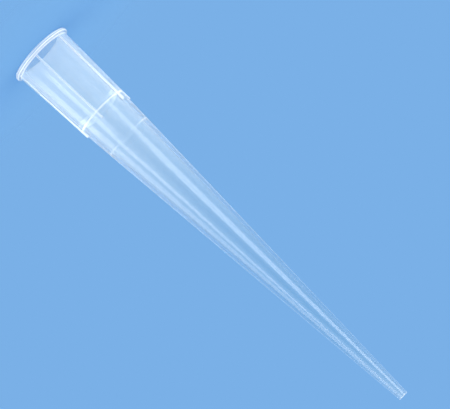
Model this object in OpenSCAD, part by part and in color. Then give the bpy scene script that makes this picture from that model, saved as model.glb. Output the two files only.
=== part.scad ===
// Universal pipette tip for about 200 microlitres, moulded in one piece.
// A collar with a rim and axial ribs carries a straight hollow cone that ends in a fine orifice.
// The tip stands on its mouth face at z = 0, with the fine end up. Its axis is the Z axis.

/* [Lengths] */
// Overall length, from the mouth face to the fine end
tip_l = 51; // [46:0.5:60]
// From the mouth face to the outer step, where the collar meets the cone
collar_l = 8.95; // [8.6:0.05:9.6]
// From the mouth face to the square ends of the ribs
rib_l = 9.9; // [9.2:0.05:11]
// Depth of the tapered socket, from the mouth face to the seat
socket_l = 8.3; // [7.4:0.05:8.6]
// From the mouth face to the inner ring, where the sealing land ends
land_end_l = 12.7; // [11:0.05:14]

/* [Bore] */
// Diameter of the straight sealing land, which grips the pipette's nozzle
land_d = 4.76; // [4.6:0.02:4.9]
// How far the seat narrows the bore, from the socket to the sealing land
seat_h = 0.18; // [0.1:0.01:0.25]
// Length of the seat's taper along the axis
seat_l = 0.36; // [0.2:0.02:0.5]
// How far the inner ring narrows the bore at the far end of the sealing land
ring_h = 0.14; // [0.08:0.01:0.3]
// Length of the inner ring's taper along the axis
ring_l = 0.42; // [0.2:0.02:0.6]
// Taper of the socket and of the collar around it, in degrees to the axis
socket_taper = 2; // [1:0.1:3]
// Radius of the rounded edge at the mouth of the bore
mouth_edge_r = 0.12; // [0.05:0.01:0.2]
// Diameter of the orifice at the fine end
orifice_d = 0.5; // [0.4:0.02:0.8]

/* [Walls] */
// Wall of the collar between the ribs
collar_wall = 0.46; // [0.4:0.01:0.6]
// Height of the outer step from the collar down to the cone
step_h = 0.08; // [0.04:0.01:0.12]
// Wall of the cone at the fine end
end_wall = 0.28; // [0.22:0.01:0.4]

/* [Rim] */
// How far the rim stands out from the collar
rim_lip = 0.3; // [0.2:0.01:0.5]
// Thickness of the rim
rim_h = 0.48; // [0.4:0.01:0.8]
// Radius of the rim's two rounded edges
rim_edge_r = 0.2; // [0.1:0.01:0.24]
// Radius of the fillet between the rim and the collar
rim_fillet_r = 0.08; // [0.04:0.01:0.15]

/* [Ribs] */
// Number of ribs round the collar
rib_n = 6; // [4:1:12]
// Width of a rib, whose crest is half round
rib_w = 0.22; // [0.16:0.02:0.4]
// How far a rib stands proud of the collar at the mouth face
rib_top_h = 0.08; // [0.04:0.01:0.15]
// How far a rib stands proud of the collar at the outer step
rib_step_h = 0.24; // [0.16:0.01:0.35]

/* [Hidden] */
$fn = 96;

// Change of radius per millimetre along the socket and the collar
slope = tan(socket_taper);
land_r = land_d / 2;
socket_end_r = land_r + seat_h;
mouth_r = socket_end_r + socket_l * slope;
well_r = land_r - ring_h;
orifice_r = orifice_d / 2;
rim_r = mouth_r + collar_wall + rim_lip;
cone_top_r = collar_r(collar_l) - step_h;
cone_end_r = orifice_r + end_wall;
rim_round = min(rim_edge_r, rim_h / 2, rim_lip);
first_rib_a = -90;
// Overrun of a cutting tool past the faces it cuts
overrun = 1;

// Outer radius of the collar at height z
function collar_r(z) = mouth_r + collar_wall - z * slope;

// Flat half section of the rim, with both outer edges round
module rim_section() {
    core_r = rim_r - rim_round;
    square([core_r, rim_h]);
    translate([0, rim_round]) square([rim_r, rim_h - 2 * rim_round]);
    for (z = [rim_round, rim_h - rim_round])
        translate([core_r, z]) circle(r = rim_round);
}

// Flat half section of the fillet in the corner between the rim and the collar
module fillet_section() {
    corner_r = collar_r(rim_h);
    difference() {
        translate([corner_r - rim_fillet_r, rim_h])
            square([2 * rim_fillet_r, rim_fillet_r]);
        translate([corner_r + rim_fillet_r, rim_h + rim_fillet_r])
            circle(r = rim_fillet_r);
    }
}

// Solid outer form: rim, collar, step and cone, with no bore
module outer_form() {
    rotate_extrude() {
        rim_section();
        fillet_section();
        polygon([
            [0, 0],
            [collar_r(0), 0],
            [collar_r(collar_l), collar_l],
            [cone_top_r, collar_l + step_h],
            [cone_end_r, tip_l],
            [0, tip_l]
        ]);
    }
}

// One rib along +X: straight sides, a half-round crest and an end cut square to the axis
module rib() {
    start_z = rim_h / 2;
    start_r = collar_r(0) + rib_top_h;
    step_r = collar_r(collar_l) + rib_step_h;
    lean = atan((start_r - step_r) / (collar_l - start_z));
    intersection() {
        translate([start_r - rib_w / 2, 0, 0])
            rotate([0, -lean, 0])
                linear_extrude(height = rib_l + rib_w) {
                    circle(d = rib_w);
                    translate([-collar_wall, -rib_w / 2]) square([collar_wall, rib_w]);
                }
        translate([0, -rib_w, start_z])
            cube([2 * start_r, 2 * rib_w, rib_l - start_z]);
    }
}

// Flat half section of the round edge at the mouth, as the material that is cut away
module mouth_edge_section() {
    difference() {
        translate([mouth_r - mouth_edge_r, 0])
            square([2 * mouth_edge_r, mouth_edge_r]);
        translate([mouth_r + mouth_edge_r, mouth_edge_r])
            circle(r = mouth_edge_r);
    }
}

// The bore as one cutting tool: mouth edge, socket, sealing land, well and orifice
module bore() {
    well_slope = (well_r - orifice_r) / (tip_l - land_end_l - ring_l);
    rotate_extrude() {
        mouth_edge_section();
        polygon([
            [0, -overrun],
            [mouth_r, -overrun],
            [mouth_r, 0],
            [socket_end_r, socket_l],
            [land_r, socket_l + seat_l],
            [land_r, land_end_l],
            [well_r, land_end_l + ring_l],
            [orifice_r, tip_l],
            [orifice_r - overrun * well_slope, tip_l + overrun],
            [0, tip_l + overrun]
        ]);
    }
}

module pipette_tip() {
    color([0.86, 0.93, 0.97, 0.55])
        difference() {
            union() {
                outer_form();
                for (i = [0 : rib_n - 1])
                    rotate([0, 0, first_rib_a + i * 360 / rib_n]) rib();
            }
            bore();
        }
}

pipette_tip();
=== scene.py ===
import math

import bpy
from mathutils import Matrix, Vector


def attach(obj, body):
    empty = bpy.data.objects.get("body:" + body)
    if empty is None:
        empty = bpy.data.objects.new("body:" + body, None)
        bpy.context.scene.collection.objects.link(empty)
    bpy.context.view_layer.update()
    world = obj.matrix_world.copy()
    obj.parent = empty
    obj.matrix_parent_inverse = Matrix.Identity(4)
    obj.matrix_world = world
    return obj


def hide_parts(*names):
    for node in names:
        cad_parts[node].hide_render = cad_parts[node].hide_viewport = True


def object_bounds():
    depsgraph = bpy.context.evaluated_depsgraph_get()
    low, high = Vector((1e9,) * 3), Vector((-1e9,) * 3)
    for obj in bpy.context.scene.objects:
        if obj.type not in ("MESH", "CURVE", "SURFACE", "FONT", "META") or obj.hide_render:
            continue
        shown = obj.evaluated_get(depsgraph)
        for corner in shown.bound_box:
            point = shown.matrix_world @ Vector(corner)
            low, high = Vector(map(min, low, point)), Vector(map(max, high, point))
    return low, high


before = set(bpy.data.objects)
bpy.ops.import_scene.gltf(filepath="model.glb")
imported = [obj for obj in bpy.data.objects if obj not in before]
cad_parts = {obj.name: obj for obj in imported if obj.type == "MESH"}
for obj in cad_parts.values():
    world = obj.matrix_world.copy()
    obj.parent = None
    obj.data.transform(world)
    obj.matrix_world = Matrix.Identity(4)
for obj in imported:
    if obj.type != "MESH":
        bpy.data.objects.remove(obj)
cad_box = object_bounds()

MM = 0.001

# The tip's own sizes, in metres. The length and the rim's radius come from the frame.
TIP_L = cad_box[1].z
RIM_R = cad_box[1].x

# Rim: thickness, how far it stands out, its two round edges and the fillet behind it
RIM_H = 0.48 * MM
RIM_LIP = 0.3 * MM
RIM_ROUND = 0.2 * MM
RIM_FILLET = 0.08 * MM

# Collar: length, outer radius at the mouth, taper, wall, and the outer step down to the cone
COLLAR_L = 8.95 * MM
COLLAR_R = RIM_R - RIM_LIP
COLLAR_SLOPE = math.tan(math.radians(2))
COLLAR_WALL = 0.46 * MM
STEP_H = 0.08 * MM

# Bore: mouth with a round edge, tapered socket, seat, straight sealing land and inner ring
MOUTH_R = COLLAR_R - COLLAR_WALL
MOUTH_EDGE = 0.12 * MM
SOCKET_L = 8.3 * MM
SEAT_H = 0.18 * MM
SEAT_L = 0.36 * MM
LAND_R = MOUTH_R - SOCKET_L * COLLAR_SLOPE - SEAT_H
LAND_END = 12.7 * MM
RING_H = 0.14 * MM
RING_L = 0.42 * MM

# Fine end: orifice and wall
ORIFICE_R = 0.25 * MM
END_WALL = 0.28 * MM

# Ribs: number, length, width, how far they stand out at the mouth and at the step, and the
# direction of the first
RIB_COUNT = 6
RIB_L = 9.9 * MM
RIB_W = 0.22 * MM
RIB_TOP_H = 0.08 * MM
RIB_STEP_H = 0.24 * MM
FIRST_RIB_ANGLE = math.radians(-90)

# Mesh: columns from rib to rib, how strongly they gather at a rib, rows on each kind of stretch,
# the bend from which an edge is a crease, and how close two points are welded
RIB_COLUMNS = 48
RIB_CROWDING = 0.88
ARC_STEPS = 8
COLLAR_STEPS = 6
CONE_STEPS = 12
CREASE_ANGLE = math.radians(28)
WELD_DISTANCE = 0.0001 * MM

# What each point of the half section carries besides its place
MARKS = ("ribbed", "crowded", "milk_and_glint_ahead", "milk_and_glint_along")

# Whiteness of each place where it is seen square on, and where it is seen along the wall. A value
# over 1 makes its line wider. The white lines of the rim, step, seat, ring and ribs are partly
# haze and partly painted highlight, standing in for light that these corners reflect and trap.
CLEAR = (0, 0)
OUTER_HAZE = (0.03, 0.4)
BORE_HAZE = (0.64, 0.5)
RIM_MILK_AND_GLINT = (1.0, 1.0)
RIM_GAP_MILK = (0.1, 0.37)
STEP_MILK_AND_GLINT = (0.4, 0.75)
SEAT_MILK_AND_GLINT = (0.08, 1.0)
RING_MILK_AND_GLINT = (0.1, 5.0)
END_MILK = (0.25, 0.4)
RIB_CREST_MILK_AND_GLINT = (0.3, 3.0)
RIB_SIDE_MILK_AND_GLINT = (3.5, 0)

# How fast a rib's whiteness falls off, away from the top of its crest and away from its sides
CREST_POWER = 2
SIDE_POWER = 3

# The haze fades with a power of the distance that is left to the fine end. A share of it comes
# back close to that end, with a power of the distance from the mouth.
HAZE_FADE = 3
END_HAZE = 0.22
END_HAZE_RISE = 12

# Spacing of the white lines round the rim, and reach of any other white line on the wall beside
# its corner. On a stretch shorter than some such reaches, the line fades over the whole stretch.
RIM_LINES = 0.19 * MM
LINE_W = 0.12 * MM
LINE_ROOM = 3

# Natural polypropylene: how strongly it bends light, and how rough its moulded face is
PLASTIC_IOR = 1.49
SMOOTH_PATCH = 0.08
DULL_PATCH = 0.1
PATCH_L = 4 * MM
# The range that most of a noise pattern's values fall in
NOISE_LOW = 0.3
NOISE_HIGH = 0.7
# Polishing marks of the mould: their distance apart, length and depth, and how much of it shows.
# Real ones are too fine to show, so these are coarser.
POLISH_GAP = 0.3 * MM
POLISH_L = 25 * MM
POLISH_DEPTH = 0.0007 * MM
POLISH_SHOWN = 0.1
# The moulded skin's softer gloss, on light that comes from outside the plastic
SKIN_ROUGHNESS = 0.3
SKIN_IOR = 1.5
# How far a wall is turned away, from 0 when it faces the eye to 1 when it is edge on, up to which
# it counts as seen square on, and from which it counts as seen along
SQUARE_ON = 0.12
ALONG_WALL = 0.55
# Share of the whiteness that is left for light on its way out of the plastic, and share of the
# light that the whitest place lets through
INSIDE_SHARE = 0.4
LEAST_THROUGH = 0.1
# The haze has its tint up to one whiteness, and the white lines have theirs from another. The
# third tint is that of lamplight behind a wall.
HAZE_TINT = "#f8fbfa"
HAZE_WHITENESS = 0.3
LINE_TINT = "#fcfeff"
LINE_WHITENESS = 0.8
SHADOW_TINT = "#e8f0f8"

# Backdrop, and the card that the tip stands on, which renders as light as the backdrop. The card
# fades away between two distances.
BACKDROP = "#7ab0e7"
BACKDROP_STRENGTH = 1.0
CARD = "#70a3d6"
CARD_R = 6 * MM
CARD_END_R = 32 * MM
FLOOR_R = 300 * MM
FLOOR_SIDES = 64

# Even light from all round, the lamps' distance to the middle of the tip in metres, and how often
# light may bounce
EVEN_LIGHT = 0.85
LAMP_DISTANCE = 0.3
LIGHT_BOUNCES = 32

# Camera: distance to the point it aims at, direction from the tip and roll in degrees, lens in
# millimetres, near and far limits in metres, and the point's height and place to the side
CAMERA_DISTANCE = 180 * MM
CAMERA_AZIMUTH = -7
CAMERA_ELEVATION = 5
CAMERA_ROLL = 133.3
CAMERA_LENS = 141.6
CAMERA_NEAR = 1 * MM
CAMERA_FAR = 10
AIM_HEIGHT = 24.67 * MM
AIM_SIDE = -1.7 * MM

# Blender's name for the node that does one step of arithmetic
MATH = "ShaderNodeMath"


def add_node(tree, kind, inputs=(), **settings):
    """Adds one node, sets its settings, and links or sets its inputs, given in order or by name."""
    node = tree.nodes.new(kind)
    for name, value in settings.items():
        setattr(node, name, value)
    by_socket = inputs if isinstance(inputs, dict) else dict(enumerate(inputs))
    for socket, value in by_socket.items():
        if isinstance(value, bpy.types.NodeSocket):
            tree.links.new(value, node.inputs[socket])
        else:
            node.inputs[socket].default_value = value
    return node


def linear(hex_colour):
    """Turns an sRGB hex colour into the linear RGBA that a node takes."""
    channels = [int(hex_colour[i : i + 2], 16) / 255 for i in (1, 3, 5)]
    curve = [c / 12.92 if c <= 0.04045 else ((c + 0.055) / 1.055) ** 2.4 for c in channels]
    return (*curve, 1)


def collar_r(z):
    """Outer radius of the collar at height z."""
    return COLLAR_R - z * COLLAR_SLOPE


def arc(centre_r, centre_z, radius, start, end):
    """Points of an arc in the half section, from one angle to another in degrees."""
    angles = [math.radians(start + (end - start) * i / ARC_STEPS) for i in range(ARC_STEPS + 1)]
    return [(centre_r + radius * math.cos(a), centre_z + radius * math.sin(a)) for a in angles]


def line_between(start, end, steps):
    """Points of a straight stretch, with both of its ends left out."""
    return [tuple(s + (e - s) * i / steps for s, e in zip(start, end)) for i in range(1, steps)]


def half_section():
    """The wall's outline as rows, over the rim, up the outside to the fine end and down the bore.

    A row holds radius, height, ribbed, crowded and its two values of whiteness. Ribbed is 1 where
    the ribs stand. Crowded is 1 where the columns gather at the ribs.
    """
    core_r = RIM_R - RIM_ROUND
    corner_r = collar_r(RIM_H)
    collar_end = (collar_r(COLLAR_L), COLLAR_L)
    cone_top = (collar_r(COLLAR_L) - STEP_H, COLLAR_L + STEP_H)
    cone_end = (ORIFICE_R + END_WALL, TIP_L)
    rib_share = (RIB_L - cone_top[1]) / (cone_end[1] - cone_top[1])
    rib_end = (cone_top[0] + rib_share * (cone_end[0] - cone_top[0]), RIB_L)
    bore_end = (ORIFICE_R, TIP_L)
    well_top = (LAND_R - RING_H, LAND_END + RING_L)
    land_end = (LAND_R, LAND_END)
    land_start = (LAND_R, SOCKET_L + SEAT_L)
    land_middle = (LAND_R, (LAND_END + land_start[1]) / 2)
    socket_end = (LAND_R + SEAT_H, SOCKET_L)
    socket_top = (MOUTH_R - MOUTH_EDGE * COLLAR_SLOPE, MOUTH_EDGE)

    places = [(MOUTH_R + MOUTH_EDGE, 0)]
    places += arc(core_r, RIM_ROUND, RIM_ROUND, -90, 0)
    places += arc(core_r, RIM_H - RIM_ROUND, RIM_ROUND, 0, 90)
    places += arc(corner_r + RIM_FILLET, RIM_H + RIM_FILLET, RIM_FILLET, 270, 180)
    # The ribs start behind the rim, and the columns gather outside the mouth's round edge
    rim = []
    for r, z in places:
        # White lines round the rim, partly painted highlights of its round edges
        share = (1 + math.cos(math.tau * z / RIM_LINES)) / 2
        milk_and_glint = [gap + share * (white - gap) for white, gap in zip(RIM_MILK_AND_GLINT, RIM_GAP_MILK)]
        rim.append((r, z, z > RIM_H, r > MOUTH_R + MOUTH_EDGE, *milk_and_glint))

    # The ribs end square to the axis, between two rows at one place
    outer = [rim.pop()]
    outer += [(*place, 1, 1, *CLEAR) for place in line_between(places[-1], collar_end, COLLAR_STEPS)]
    # The step's white line is partly a painted highlight
    outer += [(*place, 1, 1, *STEP_MILK_AND_GLINT) for place in (collar_end, cone_top)]
    outer += [(*rib_end, ribbed, 1, *CLEAR) for ribbed in (1, 0)]
    outer += [(*place, 0, 0, *CLEAR) for place in line_between(rib_end, cone_end, CONE_STEPS)]
    outer += [(*cone_end, 0, 0, *END_MILK)]

    bore = [(*bore_end, 0, 0, *END_MILK)]
    bore += [(*place, 0, 0, *CLEAR) for place in line_between(bore_end, well_top, CONE_STEPS)]
    # The ring's and the seat's white lines are partly painted highlights of light caught at these ledges
    bore += [(*well_top, 0, 0, *CLEAR), (*land_end, 0, 0, *RING_MILK_AND_GLINT), (*land_middle, 0, 0, *CLEAR)]
    bore += [(*place, 0, 0, *SEAT_MILK_AND_GLINT) for place in (land_start, socket_end)]
    bore += [(*place, 0, 0, *CLEAR) for place in line_between(socket_end, socket_top, COLLAR_STEPS)]
    mouth = arc(MOUTH_R + MOUTH_EDGE, MOUTH_EDGE, MOUTH_EDGE, 180, 270)
    bore += [(*place, 0, 0, *CLEAR) for place in mouth]
    return rim + hazed_rows(faded_rows(outer), OUTER_HAZE) + hazed_rows(faded_rows(bore), BORE_HAZE)


def faded_rows(rows):
    """The rows with a plain one close to each white one, so that its whiteness stays a thin line."""
    done = [rows[0]]
    for before, after in zip(rows, rows[1:]):
        gap = math.dist(before[:2], after[:2])
        if gap > LINE_ROOM * LINE_W and before[4:] != after[4:]:
            share = LINE_W / gap if before[4:] > after[4:] else 1 - LINE_W / gap
            place = [p + share * (q - p) for p, q in zip(before[:2], after[:2])]
            done.append((*place, *before[2:4], *min(before[4:], after[4:])))
        done.append(after)
    return done


def hazed_rows(rows, haze):
    """The rows with the wall's haze added, which fades towards the fine end and comes back a little at
    the end.
    """
    done = []
    for r, z, ribbed, crowded, *milk_and_glint in rows:
        share = (1 - z / TIP_L) ** HAZE_FADE + END_HAZE * (z / TIP_L) ** END_HAZE_RISE
        done.append((r, z, ribbed, crowded, *[m + share * h for m, h in zip(milk_and_glint, haze)]))
    return done


def section_mesh():
    """The half section as a chain of points in the XZ plane, which the node tree revolves."""
    rows = half_section()
    mesh = bpy.data.meshes.new("half_section")
    links = [(i, i + 1) for i in range(len(rows) - 1)]
    mesh.from_pydata([(row[0], 0, row[1]) for row in rows], links, [])
    for column, name in enumerate(MARKS, 2):
        mark = mesh.attributes.new(name, "FLOAT", "POINT")
        mark.data.foreach_set("value", [row[column] for row in rows])
    return mesh


def moulded_tip_tree():
    """Geometry Nodes: revolves a half section about Z and raises half-round ribs on it."""
    tree = bpy.data.node_groups.new("moulded_tip", "GeometryNodeTree")
    face = tree.interface
    for name, kind in (
        ("Half Section", "NodeSocketGeometry"),
        ("Rib Count", "NodeSocketInt"),
        ("Columns Per Rib", "NodeSocketInt"),
        ("Rib Half Width", "NodeSocketFloat"),
        ("Crest Radius", "NodeSocketFloat"),
        ("Crest Slope", "NodeSocketFloat"),
        ("First Rib Angle", "NodeSocketFloat"),
        ("Crowding", "NodeSocketFloat"),
        ("Crest Milk And Glint Ahead", "NodeSocketFloat"),
        ("Crest Milk And Glint Along", "NodeSocketFloat"),
        ("Side Milk And Glint Ahead", "NodeSocketFloat"),
        ("Side Milk And Glint Along", "NodeSocketFloat"),
        ("Crease Angle", "NodeSocketFloat"),
        ("Weld Distance", "NodeSocketFloat"),
        ("Plastic", "NodeSocketMaterial"),
    ):
        face.new_socket(name, in_out="INPUT", socket_type=kind)
    face.new_socket("Tip", in_out="OUTPUT", socket_type="NodeSocketGeometry")
    size = add_node(tree, "NodeGroupInput").outputs
    sketch = size["Half Section"]

    # One row of the grid for each point of the section, and columns all the way round
    points = add_node(tree, "GeometryNodeAttributeDomainSize", {"Geometry": sketch}).outputs[0]
    last_row = add_node(tree, MATH, (points, 1), operation="SUBTRACT").outputs[0]
    pitch_columns = size["Columns Per Rib"]
    columns = add_node(tree, MATH, (size["Rib Count"], pitch_columns), operation="MULTIPLY").outputs[0]
    seam = add_node(tree, MATH, (columns, 1), operation="ADD").outputs[0]
    grid = add_node(
        tree,
        "GeometryNodeMeshGrid",
        {"Size X": columns, "Size Y": last_row, "Vertices X": seam, "Vertices Y": points},
    ).outputs["Mesh"]
    position = add_node(tree, "GeometryNodeInputPosition").outputs[0]
    on_grid = add_node(tree, "ShaderNodeSeparateXYZ", (position,)).outputs
    column = add_node(tree, MATH, (columns, 0.5, on_grid["X"]), operation="MULTIPLY_ADD").outputs[0]
    row = add_node(tree, MATH, (last_row, 0.5, on_grid["Y"]), operation="MULTIPLY_ADD").outputs[0]
    row = add_node(tree, MATH, (row,), operation="ROUND").outputs[0]

    # What the section says at this row: its radius and height, and its marks
    place = add_node(
        tree,
        "GeometryNodeSampleIndex",
        {"Geometry": sketch, "Value": position, "Index": row},
        data_type="FLOAT_VECTOR",
    ).outputs["Value"]
    section = add_node(tree, "ShaderNodeSeparateXYZ", (place,)).outputs
    marks = {}
    for name in MARKS:
        mark = add_node(
            tree, "GeometryNodeInputNamedAttribute", {"Name": name}, data_type="FLOAT"
        ).outputs["Attribute"]
        marks[name] = add_node(
            tree,
            "GeometryNodeSampleIndex",
            {"Geometry": sketch, "Value": mark, "Index": row},
            data_type="FLOAT",
        ).outputs["Value"]

    # Angle round the axis, counted in rib pitches, with the columns crowded at each rib
    even = add_node(tree, MATH, (column, pitch_columns), operation="DIVIDE").outputs[0]
    turn = add_node(tree, MATH, (even, math.tau), operation="MULTIPLY").outputs[0]
    swing = add_node(tree, MATH, (turn,), operation="SINE").outputs[0]
    pull = add_node(tree, MATH, (size["Crowding"], marks["crowded"]), operation="MULTIPLY").outputs[0]
    pull = add_node(tree, MATH, (pull, math.tau), operation="DIVIDE").outputs[0]
    swing = add_node(tree, MATH, (swing, pull), operation="MULTIPLY").outputs[0]
    pitches = add_node(tree, MATH, (even, swing), operation="SUBTRACT").outputs[0]
    pitch = add_node(tree, MATH, (math.tau, size["Rib Count"]), operation="DIVIDE").outputs[0]
    angle = add_node(
        tree, MATH, (pitches, pitch, size["First Rib Angle"]), operation="MULTIPLY_ADD"
    ).outputs[0]
    nearest = add_node(tree, MATH, (pitches,), operation="ROUND").outputs[0]
    off_rib = add_node(tree, MATH, (pitches, nearest), operation="SUBTRACT").outputs[0]
    off_rib = add_node(tree, MATH, (off_rib, pitch), operation="MULTIPLY").outputs[0]

    # A rib is a half-round crest on straight sides, and leans with its crest line
    lean = add_node(tree, MATH, (section["Z"], size["Crest Slope"]), operation="MULTIPLY").outputs[0]
    crest = add_node(tree, MATH, (size["Crest Radius"], lean), operation="SUBTRACT").outputs[0]
    across = add_node(tree, MATH, (off_rib,), operation="SINE").outputs[0]
    across = add_node(tree, MATH, (crest, across), operation="MULTIPLY").outputs[0]
    across = add_node(tree, MATH, (across, across), operation="MULTIPLY").outputs[0]
    half = size["Rib Half Width"]
    full = add_node(tree, MATH, (half, half), operation="MULTIPLY").outputs[0]
    room = add_node(tree, MATH, (full, across), operation="SUBTRACT").outputs[0]
    within = add_node(tree, MATH, (room, 0), operation="GREATER_THAN").outputs[0]
    on_rib = add_node(tree, MATH, (within, marks["ribbed"]), operation="MULTIPLY").outputs[0]
    room = add_node(tree, MATH, (room, 0), operation="MAXIMUM").outputs[0]
    bulge = add_node(tree, MATH, (room,), operation="SQRT").outputs[0]
    rib_r = add_node(tree, MATH, (crest, half), operation="SUBTRACT").outputs[0]
    rib_r = add_node(tree, MATH, (rib_r, bulge), operation="ADD").outputs[0]
    rise = add_node(tree, MATH, (rib_r, section["X"]), operation="SUBTRACT").outputs[0]
    rise = add_node(tree, MATH, (rise, 0), operation="MAXIMUM").outputs[0]
    radius = add_node(tree, MATH, (rise, on_rib, section["X"]), operation="MULTIPLY_ADD").outputs[0]

    # The whiteness that the material reads, with that of the ribs' crests and of their sides, which is
    # partly a painted highlight along each rib
    peak = add_node(tree, MATH, (room, full), operation="DIVIDE").outputs[0]
    peak = add_node(tree, MATH, (peak, marks["ribbed"]), operation="MULTIPLY").outputs[0]
    off_peak = add_node(tree, MATH, (on_rib, peak), operation="SUBTRACT").outputs[0]
    crest_share = add_node(tree, MATH, (peak, CREST_POWER), operation="POWER").outputs[0]
    side_share = add_node(tree, MATH, (off_peak, SIDE_POWER), operation="POWER").outputs[0]
    shell = grid
    for name, crest_milk_and_glint, side_milk_and_glint in (
        ("milk_and_glint_ahead", size["Crest Milk And Glint Ahead"], size["Side Milk And Glint Ahead"]),
        ("milk_and_glint_along", size["Crest Milk And Glint Along"], size["Side Milk And Glint Along"]),
    ):
        own = add_node(tree, MATH, (crest_milk_and_glint, crest_share), operation="MULTIPLY").outputs[0]
        own = add_node(tree, MATH, (side_milk_and_glint, side_share, own), operation="MULTIPLY_ADD").outputs[0]
        milk_and_glint = add_node(tree, MATH, (marks[name], own), operation="MAXIMUM").outputs[0]
        shell = add_node(
            tree,
            "GeometryNodeStoreNamedAttribute",
            {"Geometry": shell, "Name": name, "Value": milk_and_glint},
            data_type="FLOAT",
            domain="POINT",
        ).outputs[0]

    # The grid wraps round the axis, and its seam is welded
    cosine = add_node(tree, MATH, (angle,), operation="COSINE").outputs[0]
    sine = add_node(tree, MATH, (angle,), operation="SINE").outputs[0]
    x = add_node(tree, MATH, (radius, cosine), operation="MULTIPLY").outputs[0]
    y = add_node(tree, MATH, (radius, sine), operation="MULTIPLY").outputs[0]
    wrapped = add_node(tree, "ShaderNodeCombineXYZ", (x, y, section["Z"])).outputs[0]
    shell = add_node(
        tree, "GeometryNodeSetPosition", {"Geometry": shell, "Position": wrapped}
    ).outputs[0]
    shell = add_node(
        tree, "GeometryNodeMergeByDistance", {"Geometry": shell, "Distance": size["Weld Distance"]}
    ).outputs[0]

    # Smooth walls, with creases where two faces meet at more than the crease angle
    shell = add_node(
        tree, "GeometryNodeSetShadeSmooth", {"Geometry": shell, "Shade Smooth": True}, domain="FACE"
    ).outputs[0]
    bend = add_node(tree, "GeometryNodeInputMeshEdgeAngle").outputs["Unsigned Angle"]
    soft = add_node(tree, MATH, (bend, size["Crease Angle"]), operation="LESS_THAN").outputs[0]
    shell = add_node(
        tree, "GeometryNodeSetShadeSmooth", {"Geometry": shell, "Shade Smooth": soft}, domain="EDGE"
    ).outputs[0]
    shell = add_node(tree, "GeometryNodeRealizeInstances", {"Geometry": shell}).outputs[0]
    shell = add_node(
        tree, "GeometryNodeSetMaterial", {"Geometry": shell, "Material": size["Plastic"]}
    ).outputs[0]
    add_node(tree, "NodeGroupOutput", {"Tip": shell})
    return tree


def moulded_tip(plastic):
    """The tip as one closed shell, with both faces of its wall, made by the node tree."""
    sketch = bpy.data.objects.new("tip_sketch", section_mesh())
    bpy.context.scene.collection.objects.link(sketch)
    modifier = sketch.modifiers.new("moulded_tip", "NODES")
    modifier.node_group = moulded_tip_tree()
    values = {
        "Rib Count": RIB_COUNT,
        "Columns Per Rib": RIB_COLUMNS,
        "Rib Half Width": RIB_W / 2,
        "Crest Radius": COLLAR_R + RIB_TOP_H,
        "Crest Slope": (RIB_TOP_H - RIB_STEP_H) / (COLLAR_L - RIM_H / 2) + COLLAR_SLOPE,
        "First Rib Angle": FIRST_RIB_ANGLE,
        "Crowding": RIB_CROWDING,
        "Crest Milk And Glint Ahead": RIB_CREST_MILK_AND_GLINT[0],
        "Crest Milk And Glint Along": RIB_CREST_MILK_AND_GLINT[1],
        "Side Milk And Glint Ahead": RIB_SIDE_MILK_AND_GLINT[0],
        "Side Milk And Glint Along": RIB_SIDE_MILK_AND_GLINT[1],
        "Crease Angle": CREASE_ANGLE,
        "Weld Distance": WELD_DISTANCE,
        "Plastic": plastic,
    }
    for item in modifier.node_group.interface.items_tree:
        if item.in_out == "INPUT" and item.name in values:
            modifier[item.identifier] = values[item.name]
    solved = sketch.evaluated_get(bpy.context.evaluated_depsgraph_get())
    mesh = bpy.data.meshes.new_from_object(solved)
    # The grid's own material slot is empty
    mesh.materials.pop(index=0)
    bpy.data.objects.remove(sketch)
    tip = bpy.data.objects.new("moulded_tip", mesh)
    bpy.context.scene.collection.objects.link(tip)
    return tip


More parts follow.
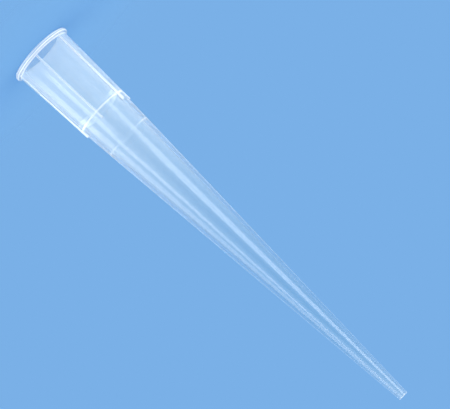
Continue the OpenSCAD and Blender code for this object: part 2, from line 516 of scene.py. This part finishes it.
def natural_polypropylene():
    """Natural polypropylene, injection moulded.

    To the eye it is clear with a faint milky haze, white along ribs, steps and edges, which is partly
    painted highlight, and its smooth face shows long soft streaks of light.
    """
    material = bpy.data.materials.new("natural_polypropylene_moulded")
    material.use_nodes = True
    tree = material.node_tree
    tree.nodes.clear()
    place = add_node(tree, "ShaderNodeTexCoord").outputs["Object"]

    # The face is smooth and a little duller in patches a few millimetres long
    patches = add_node(
        tree, "ShaderNodeTexNoise", {"Vector": place, "Scale": 1 / PATCH_L, "Detail": 3}
    ).outputs["Fac"]
    rough = add_node(
        tree,
        "ShaderNodeMapRange",
        {
            "Value": patches,
            "From Min": NOISE_LOW,
            "From Max": NOISE_HIGH,
            "To Min": SMOOTH_PATCH,
            "To Max": DULL_PATCH,
        },
    ).outputs[0]

    # Polishing marks of the mould run along the axis
    density = (1 / POLISH_GAP, 1 / POLISH_GAP, 1 / POLISH_L)
    lengthwise = add_node(tree, "ShaderNodeMapping", {"Vector": place, "Scale": density}).outputs[0]
    polish = add_node(
        tree, "ShaderNodeTexNoise", {"Vector": lengthwise, "Scale": 1, "Detail": 2}
    ).outputs["Fac"]
    relief = add_node(
        tree, "ShaderNodeBump", {"Height": polish, "Strength": POLISH_SHOWN, "Distance": POLISH_DEPTH}
    ).outputs[0]

    # Corners and thick places scatter more light, and most where the wall is seen along its length.
    # The white at the rim, ribs, step, seat, ring and along the edges is partly painted highlight, in
    # place of light that the wall reflects and traps there.
    ahead = add_node(tree, "ShaderNodeAttribute", attribute_name="milk_and_glint_ahead").outputs["Fac"]
    along = add_node(tree, "ShaderNodeAttribute", attribute_name="milk_and_glint_along").outputs["Fac"]
    facing = add_node(tree, "ShaderNodeLayerWeight", {"Blend": 0.5}).outputs["Facing"]
    sidelong = add_node(
        tree,
        "ShaderNodeMapRange",
        {"Value": facing, "From Min": SQUARE_ON, "From Max": ALONG_WALL},
        interpolation_type="SMOOTHSTEP",
    ).outputs[0]
    milk_and_glint = add_node(
        tree, "ShaderNodeMix", {0: sidelong, 2: ahead, 3: along}, data_type="FLOAT"
    ).outputs[0]

    # Most of the light is scattered where it enters the plastic
    inside = add_node(tree, "ShaderNodeNewGeometry").outputs["Backfacing"]
    outside = add_node(tree, MATH, (1, inside), operation="SUBTRACT").outputs[0]
    share = add_node(
        tree, "ShaderNodeMapRange", {"Value": inside, "To Min": 1, "To Max": INSIDE_SHARE}
    ).outputs[0]
    milk_and_glint = add_node(tree, MATH, (milk_and_glint, share), operation="MULTIPLY").outputs[0]
    through = add_node(
        tree, "ShaderNodeMapRange", {"Value": milk_and_glint, "To Min": 1, "To Max": LEAST_THROUGH}
    ).outputs[0]

    # The haze is a shade greyer than the white lines
    line_share = add_node(
        tree,
        "ShaderNodeMapRange",
        {"Value": milk_and_glint, "From Min": HAZE_WHITENESS, "From Max": LINE_WHITENESS},
        interpolation_type="SMOOTHSTEP",
    ).outputs[0]
    tint = add_node(
        tree,
        "ShaderNodeMix",
        {0: line_share, 6: linear(HAZE_TINT), 7: linear(LINE_TINT)},
        data_type="RGBA",
    ).outputs[2]
    plastic = add_node(
        tree,
        "ShaderNodeBsdfPrincipled",
        {
            "Base Color": tint,
            "Roughness": rough,
            "Normal": relief,
            "IOR": PLASTIC_IOR,
            "Transmission Weight": through,
            "Coat Weight": outside,
            "Coat Roughness": SKIN_ROUGHNESS,
            "Coat IOR": SKIN_IOR,
        },
    ).outputs[0]

    # Lamps shine through the clear wall, so its shadow is pale and the wall lights up inside
    rays = add_node(tree, "ShaderNodeLightPath").outputs
    lamplight = add_node(tree, "ShaderNodeBsdfTransparent", {"Color": linear(SHADOW_TINT)}).outputs[0]
    straight = add_node(
        tree, MATH, (rays["Is Shadow Ray"], rays["Is Diffuse Ray"]), operation="MAXIMUM"
    ).outputs[0]
    surface = add_node(tree, "ShaderNodeMixShader", (straight, plastic, lamplight)).outputs[0]
    add_node(tree, "ShaderNodeOutputMaterial", {"Surface": surface})
    return material


def backdrop_world():
    """A pale backdrop for what the camera sees and the plastic shows, and an even soft light."""
    world = bpy.data.worlds.new("pale_backdrop")
    bpy.context.scene.world = world
    world.use_nodes = True
    tree = world.node_tree
    tree.nodes.clear()
    rays = add_node(tree, "ShaderNodeLightPath").outputs
    seen = add_node(
        tree, MATH, (rays["Is Camera Ray"], rays["Is Transmission Ray"]), operation="MAXIMUM"
    ).outputs[0]
    seen = add_node(tree, MATH, (seen, rays["Is Glossy Ray"]), operation="MAXIMUM").outputs[0]
    backdrop = {"Color": linear(BACKDROP), "Strength": BACKDROP_STRENGTH}
    shown = add_node(tree, "ShaderNodeBackground", backdrop).outputs[0]
    even_light = {"Color": (1, 1, 1, 1), "Strength": EVEN_LIGHT}
    light = add_node(tree, "ShaderNodeBackground", even_light).outputs[0]
    both = add_node(tree, "ShaderNodeMixShader", (seen, light, shown)).outputs[0]
    add_node(tree, "ShaderNodeOutputWorld", {"Surface": both})


def floor():
    """A plain pale floor of matt card, which shows no gloss and fades into the backdrop."""
    bpy.ops.mesh.primitive_circle_add(vertices=FLOOR_SIDES, radius=FLOOR_R, fill_type="NGON")
    disc = bpy.context.active_object
    disc.name = "floor"
    material = bpy.data.materials.new("pale_card")
    material.use_nodes = True
    tree = material.node_tree
    tree.nodes.clear()
    place = add_node(tree, "ShaderNodeTexCoord").outputs["Object"]
    reach = add_node(tree, "ShaderNodeVectorMath", (place,), operation="LENGTH").outputs["Value"]
    fade = add_node(
        tree,
        "ShaderNodeMapRange",
        {"Value": reach, "From Min": CARD_R, "From Max": CARD_END_R},
        interpolation_type="SMOOTHSTEP",
    ).outputs[0]
    card = add_node(tree, "ShaderNodeBsdfDiffuse", {"Color": linear(CARD)}).outputs[0]
    clear = add_node(tree, "ShaderNodeBsdfTransparent").outputs[0]
    both = add_node(tree, "ShaderNodeMixShader", (fade, card, clear)).outputs[0]
    add_node(tree, "ShaderNodeOutputMaterial", {"Surface": both})
    disc.data.materials.append(material)


def outward(azimuth, elevation):
    """Unit vector away from the tip, by degrees to the right of the front and degrees up."""
    turn = math.radians(azimuth)
    rise = math.radians(elevation)
    return Vector(
        (math.sin(turn) * math.cos(rise), -math.cos(turn) * math.cos(rise), math.sin(rise))
    )


def softbox(name, azimuth, elevation, width, height, radiance, lean=0, glossy=True):
    """A rectangular lamp that faces the middle of the tip and looks as bright as its radiance.

    Its width and height are in metres, and it leans by some degrees in its own plane. Where it
    isn't glossy, it lights the haze but no streak of it shows on the plastic.
    """
    back = outward(azimuth, elevation)
    lamp = bpy.data.lights.new(name, "AREA")
    lamp.shape = "RECTANGLE"
    lamp.size = width
    lamp.size_y = height
    lamp.energy = radiance * math.pi * width * height
    lit = bpy.data.objects.new(name, lamp)
    bpy.context.scene.collection.objects.link(lit)
    lit.location = Vector((0, 0, TIP_L / 2)) + back * LAMP_DISTANCE
    facing = back.to_track_quat("Z", "Y").to_matrix()
    lit.rotation_euler = (facing @ Matrix.Rotation(math.radians(lean), 3, "Z")).to_euler()
    lit.visible_camera = False
    lit.visible_transmission = False
    lit.visible_glossy = glossy


def lamps():
    """Softboxes that the plastic shows as long streaks and bright edges, and two fills."""
    softbox("key_softbox", azimuth=-48, elevation=10, width=0.17, height=0.18, radiance=2.6, lean=15)
    softbox("low_softbox", azimuth=18, elevation=-15, width=0.14, height=0.1, radiance=1.5)
    softbox("front_softbox", azimuth=39, elevation=4, width=0.08, height=0.4, radiance=2.6, lean=-20)
    softbox("right_softbox", azimuth=72, elevation=4, width=0.13, height=0.4, radiance=1.6, lean=30)
    softbox("left_softbox", azimuth=-102, elevation=4, width=0.2, height=0.3, radiance=0.4)
    softbox("left_edge_light", azimuth=-162, elevation=4, width=0.15, height=0.3, radiance=0.25)
    softbox("right_edge_light", azimuth=148, elevation=4, width=0.15, height=0.3, radiance=0.25)
    softbox("left_fill", azimuth=-95, elevation=4, width=0.2, height=0.3, radiance=2.4, glossy=False)
    softbox("right_fill", azimuth=90, elevation=4, width=0.2, height=0.3, radiance=1.6, glossy=False)
    softbox("top_softbox", azimuth=0, elevation=80, width=0.2, height=0.2, radiance=0.8)


def camera():
    """The camera, rolled so that the tip runs from the upper left to the lower right."""
    back = outward(CAMERA_AZIMUTH, CAMERA_ELEVATION)
    turn = back.to_track_quat("Z", "Y").to_matrix().to_4x4()
    side = turn.col[0].to_3d()
    up = turn.col[1].to_3d()
    aim = Vector((0, 0, TIP_L / 2)) + side * AIM_SIDE + up * (AIM_HEIGHT - TIP_L / 2)
    lens = bpy.data.cameras.new("camera")
    lens.lens = CAMERA_LENS
    lens.clip_start = CAMERA_NEAR
    lens.clip_end = CAMERA_FAR
    eye = bpy.data.objects.new("camera", lens)
    bpy.context.scene.collection.objects.link(eye)
    roll = Matrix.Rotation(math.radians(CAMERA_ROLL), 4, "Z")
    eye.matrix_world = Matrix.Translation(aim + back * CAMERA_DISTANCE) @ turn @ roll
    bpy.context.scene.camera = eye


def light_paths():
    """Light passes many times along a thin clear wall before it leaves it."""
    cycles = bpy.context.scene.cycles
    cycles.max_bounces = LIGHT_BOUNCES
    cycles.glossy_bounces = LIGHT_BOUNCES
    cycles.transmission_bounces = LIGHT_BOUNCES
    # Blue noise leaves speckle in light that is bent by several walls, and this pattern doesn't
    cycles.sampling_pattern = "TABULATED_SOBOL"


camera()
backdrop_world()
floor()
lamps()
bpy.context.scene.view_settings.view_transform = "Standard"
light_paths()

tip = moulded_tip(natural_polypropylene())
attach(tip, "root")
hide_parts("pipette_tip")
